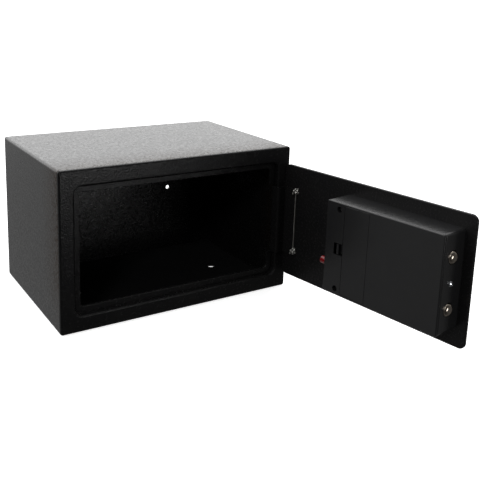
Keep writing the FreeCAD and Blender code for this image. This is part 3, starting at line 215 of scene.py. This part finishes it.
def bare_metal(name, colour, roughness, scratch=0.00002):
    """Plated or turned metal with fine handling marks and a little cloudiness."""
    metal = Finish(name, colour, roughness, metallic=1.0)
    darker = tuple(channel * 0.72 for channel in colour)
    metal.wire(metal.mixed(metal.grain(0.004, 4.0), darker, colour), "Base Color")
    metal.wire(metal.between(metal.grain(0.0015, 3.0), roughness - 0.06, roughness + 0.10), "Roughness")
    streaks = metal.grain(0.001, 2.0, metal.stretched(1.0, 1.0, 0.08))
    return metal.bumps((streaks, scratch)).material


def rubber(name, colour):
    """Matt silicone rubber, as on the keys; also used for the print on them."""
    key = Finish(name, colour, 0.6)
    key.wire(key.between(key.grain(0.003), 0.5, 0.68), "Roughness")
    return key.bumps((key.grain(0.0003), 0.00002)).material


def felt():
    """Needled black felt: matt, with loose fibres and slow lumps."""
    cloth = Finish("black_needled_felt", (0.004, 0.004, 0.005), 0.95)
    cloth.set(sheen_weight=0.04, sheen_roughness=0.6, specular_ior_level=0.1)
    fibres = cloth.grain(0.0007, 4.0)
    cloth.wire(cloth.mixed(fibres, (0.001, 0.001, 0.0015), (0.005, 0.005, 0.006)), "Base Color")
    return cloth.bumps((fibres, 0.0002), (cloth.grain(0.006), 0.0004)).material


def glass(name, colour):
    """A tinted clear window, not quite flat."""
    window = Finish(name, colour, 0.06)
    window.set(transmission_weight=0.75, ior=1.49)
    window.wire(window.between(window.grain(0.01), 0.04, 0.1), "Roughness")
    return window.bumps((window.grain(0.03, 1.0), 0.00005)).material


def circuit_board():
    """Green lacquered board with lighter patches of buried copper."""
    board = Finish("green_circuit_board", (0.01, 0.09, 0.035), 0.35)
    board.wire(board.mixed(board.pebbles(0.004), (0.008, 0.07, 0.03), (0.02, 0.15, 0.06)), "Base Color")
    return board.bumps((board.pebbles(0.002), 0.00003)).material


# A wave texture turns 20 radians a metre at scale 1; the coil's bands turn one radian in this many metres.
WAVE_RADIANS = 20
WIRE_BAND = 0.0004


def copper_winding():
    """Enamelled wire wound round an upright core."""
    coil = Finish("enamelled_copper", (0.45, 0.14, 0.04), 0.3, metallic=1.0)
    turns = coil.nodes.new("ShaderNodeTexWave")
    turns.bands_direction = "Z"
    turns.inputs["Scale"].default_value = 1.0 / (WAVE_RADIANS * WIRE_BAND)
    coil.links.new(coil.place, turns.inputs["Vector"])
    coil.wire(coil.mixed(turns.outputs["Fac"], (0.2, 0.05, 0.015), (0.55, 0.19, 0.06)), "Base Color")
    return coil.bumps((turns.outputs["Fac"], 0.0001)).material


def cell_sleeve():
    """The blue printed sleeve of a dry cell."""
    sleeve = Finish("dry_cell_sleeve", (0.02, 0.05, 0.11), 0.3)
    sleeve.wire(sleeve.mixed(sleeve.grain(0.01), (0.018, 0.045, 0.10), (0.03, 0.07, 0.15)), "Base Color")
    return sleeve.bumps((sleeve.grain(0.002), 0.00002)).material


# By the record's material slots.
FINISHES = {
    "body_coat": powder_coat("black_powder_coat", 0.0014, 0.00014, 0.28),
    "door_coat": powder_coat("black_door_coat", 0.0011, 0.00006, 0.24, shine=0.12),
    "floor_felt": felt(),
    "weld_metal": bare_metal("bare_weld", (0.50, 0.49, 0.46), 0.3, 0.0001),
    "lock_plastic": moulded_plastic("charcoal_lock_plastic", (0.013, 0.013, 0.0135), 0.24, 0.0005,
                                    shine=0.4),
    "inner_plastic": moulded_plastic("black_tray_plastic", (0.012, 0.012, 0.012), 0.45, 0.0005),
    "cell_sleeve": cell_sleeve(),
    "spring_steel": bare_metal("spring_steel", (0.55, 0.56, 0.58), 0.25),
    "bolt_nickel": bare_metal("nickel_plate", (0.50, 0.44, 0.37), 0.2),
    "zinc_steel": bare_metal("zinc_plate", (0.68, 0.70, 0.73), 0.28),
    "black_steel": powder_coat("blackened_steel", 0.0006, 0.00002, 0.45),
    "brass": bare_metal("turned_brass", (0.75, 0.53, 0.24), 0.25),
    "coil_copper": copper_winding(),
    "board_green": circuit_board(),
    "component_black": moulded_plastic("component_epoxy", (0.015, 0.015, 0.016), 0.5, 0.0003),
    "fascia_plastic": moulded_plastic("black_fascia_plastic", (0.018, 0.018, 0.019), 0.3, 0.0006),
    "key_rubber": rubber("grey_key_rubber", (0.055, 0.057, 0.06)),
    "window_tint": glass("smoked_window", (0.12, 0.03, 0.03)),
    "knob_chrome": bare_metal("satin_chrome", (0.72, 0.73, 0.75), 0.18),
    "reset_red": moulded_plastic("red_button_plastic", (0.17, 0.005, 0.007), 0.12, 0.0006),
}
OUTSIDE_COAT = powder_coat("brown_patched_powder_coat", 0.0012, 0.00010, 0.3, brown_patch=True)
for node in NODES.values():
    for spot in node.material_slots:
        spot.material = FINISHES[spot.material.name]
FRONT_COAT = powder_coat("front_frame_coat", 0.0014, 0.0002, 0.22, shine=0.16)
NODES["body_wrapper"].material_slots[0].material = OUTSIDE_COAT
NODES["front_frame"].material_slots[0].material = FRONT_COAT


# ---------------------------------------------------------------- modelling helpers
def deselect():
    """Nothing selected, so that the next operator acts only on what it is given."""
    bpy.ops.object.select_all(action="DESELECT")


def only(piece):
    """One piece selected and active."""
    deselect()
    piece.select_set(True)
    bpy.context.view_layer.objects.active = piece


def settle(piece, name, finish, body):
    """The piece gets its place in its mesh, its finish and the body that carries it."""
    only(piece)
    bpy.ops.object.transform_apply(location=True, rotation=True, scale=True)
    piece.name = name
    piece.data.name = name
    piece.data.materials.clear()
    piece.data.materials.append(finish)
    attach(piece, body)
    return piece


# ---------------------------------------------------------------- floor mat
FELT_HOLE = 6.2 * MM        # radius of the cut-outs round the floor anchors
FELT_PRESSED = 0.9          # the felt's thickness as it lies, as a share of the drawn mat's
FELT_CELLS_ACROSS, FELT_CELLS_DEEP = 74, 44
PUNCH_TALL = 0.02


def make_felt_mat():
    """The loose felt mat on the safe's floor, cut out round the two anchor holes."""
    low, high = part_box("floor_mat")
    thick = high.z - low.z
    wide, deep = high.x - low.x, high.y - low.y
    centre = ((low.x + high.x) / 2, (low.y + high.y) / 2, low.z)
    bpy.ops.mesh.primitive_grid_add(x_subdivisions=FELT_CELLS_ACROSS, y_subdivisions=FELT_CELLS_DEEP,
                                    size=1, location=centre)
    mat = bpy.context.object
    mat.scale = (wide, deep, 1)
    bpy.ops.object.transform_apply(location=True, rotation=True, scale=True)
    solid = mat.modifiers.new("thickness", "SOLIDIFY")
    solid.thickness = thick * FELT_PRESSED
    solid.offset = 1.0
    bpy.ops.object.modifier_apply(modifier=solid.name)
    anchors = MOUNTS["floor_anchors"]
    middle, spacing = anchors["pos_m"], anchors["dims"]["spacing_x_mm"] * MM
    for side in (-0.5, 0.5):
        spot = (middle[0] + side * spacing, middle[1], low.z)
        bpy.ops.mesh.primitive_cylinder_add(vertices=40, radius=FELT_HOLE, depth=PUNCH_TALL, location=spot)
        punch = bpy.context.object
        only(mat)
        hole = mat.modifiers.new("hole", "BOOLEAN")
        hole.object = punch
        hole.operation = "DIFFERENCE"
        hole.solver = "EXACT"
        bpy.ops.object.modifier_apply(modifier=hole.name)
        bpy.data.objects.remove(punch)
    settle(mat, "felt_mat", FINISHES["floor_felt"], "safe_body")
    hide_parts("floor_mat")


make_felt_mat()


# ---------------------------------------------------------------- welds on the hinge plate
RUN_RADIUS, RUN_PITCH = 1.3 * MM, 0.9 * MM
RUN_OFFSET = Vector((-0.2 * MM, 0.8 * MM, 1.5 * MM))
RUN_SHORTER = 3.0 * MM      # how much shorter the run is than the drawn weld
TACK_INSET = 4.0 * MM
TACK_PITCH = 1.1 * MM
RIPPLE_SQUASH = 0.8
MELT_SIZE = 0.22 * MM
# Across the plate, out from the door, along the edge, and radius of each blob at an end, in mm.
SPATTER = [(-0.8, 1.0, -1.4, 2.7), (-2.6, 0.7, 1.4, 1.9), (1.6, 2.8, 0.8, 1.8), (-0.6, 1.8, 3.0, 1.9),
           (-4.0, 0.4, -0.8, 1.2), (2.6, 3.2, -2.6, 1.2), (-3.2, 0.4, 3.6, 1.0)]


def bead_chain(place, radius, pitch, count):
    """A row of overlapping weld ripples that runs upwards from a place."""
    bpy.ops.mesh.primitive_uv_sphere_add(segments=20, ring_count=12, radius=radius, location=place)
    bead = bpy.context.object
    bead.scale = (1.0, 1.0, RIPPLE_SQUASH)
    bpy.ops.object.transform_apply(location=True, rotation=True, scale=True)
    row = bead.modifiers.new("ripples", "ARRAY")
    row.use_relative_offset = False
    row.use_constant_offset = True
    row.constant_offset_displace = (0.0, 0.0, pitch)
    row.count = count
    bpy.ops.object.modifier_apply(modifier=row.name)
    return bead


def make_weld_beads():
    """A thin run up the hinge plate's edge and blobs at each end of it, melted into one mesh."""
    low, high = shut_box("hinge_welds")
    corner = Vector((high.x, low.y, low.z))
    ripples = int((high.z - low.z - RUN_SHORTER) / RUN_PITCH)
    run = bead_chain(corner + RUN_OFFSET, RUN_RADIUS, RUN_PITCH, ripples)
    tacks = []
    for end in (low.z + TACK_INSET, high.z - TACK_INSET):
        for across, out, along, radius in SPATTER:
            spot = Vector((corner.x + across * MM, corner.y + out * MM, end + along * MM))
            tacks.append(bead_chain(spot, radius * MM, TACK_PITCH, 2))
    deselect()
    for bead in tacks + [run]:
        bead.select_set(True)
    bpy.context.view_layer.objects.active = run
    bpy.ops.object.join()
    melt = run.modifiers.new("melt", "REMESH")
    melt.mode = "VOXEL"
    melt.voxel_size = MELT_SIZE
    bpy.ops.object.modifier_apply(modifier=melt.name)
    bpy.ops.object.shade_smooth()
    run.matrix_world = OPENED @ run.matrix_world
    settle(run, "weld_beads", FINISHES["weld_metal"], "door")
    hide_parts("hinge_welds")


make_weld_beads()


# ---------------------------------------------------------------- legends on the keys
LEGENDS = {"clear": "*", "enter": "#"}     # every other key carries the digit it is named after
LEGEND_TALL = 7.0 * MM
LEGEND_THICK = 0.06 * MM
LEGEND_LIFT = 0.02 * MM


def make_key_legends():
    """A printed digit, star or hash on every key, carried by the key it stands on."""
    ink = rubber("white_key_print", (0.6, 0.6, 0.58))
    for name in ["clear", "enter"] + [str(digit) for digit in range(10)]:
        low, high = shut_box("key_" + name)
        face = ((low.x + high.x) / 2, low.y - LEGEND_LIFT, (low.z + high.z) / 2)
        bpy.ops.object.text_add(location=face, rotation=(math.radians(90), 0, 0))
        legend = bpy.context.object
        legend.data.body = LEGENDS.get(name, name)
        legend.data.size = LEGEND_TALL
        legend.data.align_x = "CENTER"
        legend.data.align_y = "CENTER"
        legend.data.extrude = LEGEND_THICK
        bpy.ops.object.convert(target="MESH")
        legend = bpy.context.object
        legend.matrix_world = OPENED @ legend.matrix_world
        settle(legend, "key_print_" + name, ink, "key_" + name)


make_key_legends()


# ---------------------------------------------------------------- camera, light and floor
VIEW_ANGLES = (-32.157, 12.002, 1.689)      # round, up and roll, in degrees
VIEW_TARGET, VIEW_DISTANCE = (0.1116, 0.0, 0.1757), 0.9781
LENS_MM, LENS_SHIFT = 53.155, (0.0417, -0.198)
# Strength of the reflected surroundings: behind at floor level and higher up, in front on each side.
BEHIND_LOW, BEHIND_HIGH = 0.3, 2.0
FRONT_LEFT, FRONT_RIGHT = 0.03, 0.07
BACKDROP_STRENGTH = 1.2
# Each softbox: name, width, depth, watts, place and what it is aimed at.
SOFTBOXES = [
    ("overhead_softbox", 1.2, 0.9, 3.0, (0.0, -0.1, 1.4), (0.0, 0.0, 0.1)),
    ("front_softbox", 0.35, 0.35, 2.6, (0.3, -1.25, 0.08), (-0.1, 0.1, 0.1)),
    ("side_softbox", 0.3, 0.3, 2.4, (-1.0, -1.1, 0.95), (0.1, -0.25, 0.1)),
]
FLOOR_GLOW = 0.75


def place_camera():
    """From the left and a little above, with the lens shifted to frame the open door."""
    azimuth, elevation, roll = (math.radians(angle) for angle in VIEW_ANGLES)
    target = Vector(VIEW_TARGET)
    back = Vector((math.sin(azimuth) * math.cos(elevation),
                   -math.cos(azimuth) * math.cos(elevation), math.sin(elevation)))
    lens = bpy.data.cameras.new("studio_camera")
    lens.lens = LENS_MM
    lens.sensor_width = 36.0
    lens.shift_x, lens.shift_y = LENS_SHIFT
    lens.clip_start = 0.01
    camera = bpy.data.objects.new("studio_camera", lens)
    camera.location = target + back * VIEW_DISTANCE
    turn = (-back).to_track_quat("-Z", "Y").to_matrix().to_4x4()
    camera.rotation_euler = (turn @ Matrix.Rotation(roll, 4, "Z")).to_euler()
    bpy.context.scene.collection.objects.link(camera)
    bpy.context.scene.camera = camera


def light_studio():
    """Reflected surroundings bright behind and above and dim in front, a white backdrop, and softboxes."""
    world = bpy.data.worlds.new("studio")
    bpy.context.scene.world = world
    world.use_nodes = True
    nodes, links = world.node_tree.nodes, world.node_tree.links
    light = nodes["Background"]
    place = nodes.new("ShaderNodeTexCoord")
    parts = nodes.new("ShaderNodeSeparateXYZ")
    links.new(place.outputs["Generated"], parts.inputs["Vector"])

    def fade(axis, start, end, low, high):
        span = nodes.new("ShaderNodeMapRange")
        span.interpolation_type = "SMOOTHSTEP"
        set_range(span, start, end, low, high)
        links.new(parts.outputs[axis], span.inputs["Value"])
        return span

    height = fade("Z", -0.25, 0.25, BEHIND_LOW, BEHIND_HIGH)
    front = fade("X", -0.3, 0.6, FRONT_LEFT, FRONT_RIGHT)
    depth = fade("Y", -0.7, 0.8, 0.0, 1.0)
    links.new(front.outputs["Result"], depth.inputs["To Min"])
    links.new(height.outputs["Result"], depth.inputs["To Max"])
    links.new(depth.outputs["Result"], light.inputs["Strength"])
    light.inputs["Color"].default_value = (1.0, 1.0, 1.0, 1.0)
    seen = nodes.new("ShaderNodeBackground")
    seen.inputs["Strength"].default_value = BACKDROP_STRENGTH
    seen.inputs["Color"].default_value = (1.0, 1.0, 1.0, 1.0)
    ray = nodes.new("ShaderNodeLightPath")
    choose = nodes.new("ShaderNodeMixShader")
    links.new(ray.outputs["Is Camera Ray"], choose.inputs["Fac"])
    links.new(light.outputs["Background"], choose.inputs[1])
    links.new(seen.outputs["Background"], choose.inputs[2])
    links.new(choose.outputs["Shader"], nodes["World Output"].inputs["Surface"])

    for name, wide, deep, watts, stand_at, aim in SOFTBOXES:
        lamp = bpy.data.lights.new(name, "AREA")
        lamp.shape = "RECTANGLE"
        lamp.size, lamp.size_y = wide, deep
        lamp.energy = watts
        stand = bpy.data.objects.new(name, lamp)
        stand.location = stand_at
        stand.rotation_euler = (Vector(aim) - Vector(stand_at)).to_track_quat("-Z", "Y").to_euler()
        bpy.context.scene.collection.objects.link(stand)


def lay_floor():
    """A white paper floor that lights nothing and shows in no reflection."""
    bpy.ops.mesh.primitive_plane_add(size=8.0, location=(0, 0, -0.0005))
    floor = bpy.context.object
    floor.name = "studio_floor"
    paper = Finish("white_paper", (0.9, 0.9, 0.9), 0.9)
    paper.set(emission_color=(1.0, 1.0, 1.0, 1.0), emission_strength=FLOOR_GLOW)
    floor.data.materials.append(paper.material)
    floor.visible_glossy = False
    floor.visible_diffuse = False


place_camera()
light_studio()
lay_floor()
bpy.context.scene.view_settings.view_transform = "Standard"
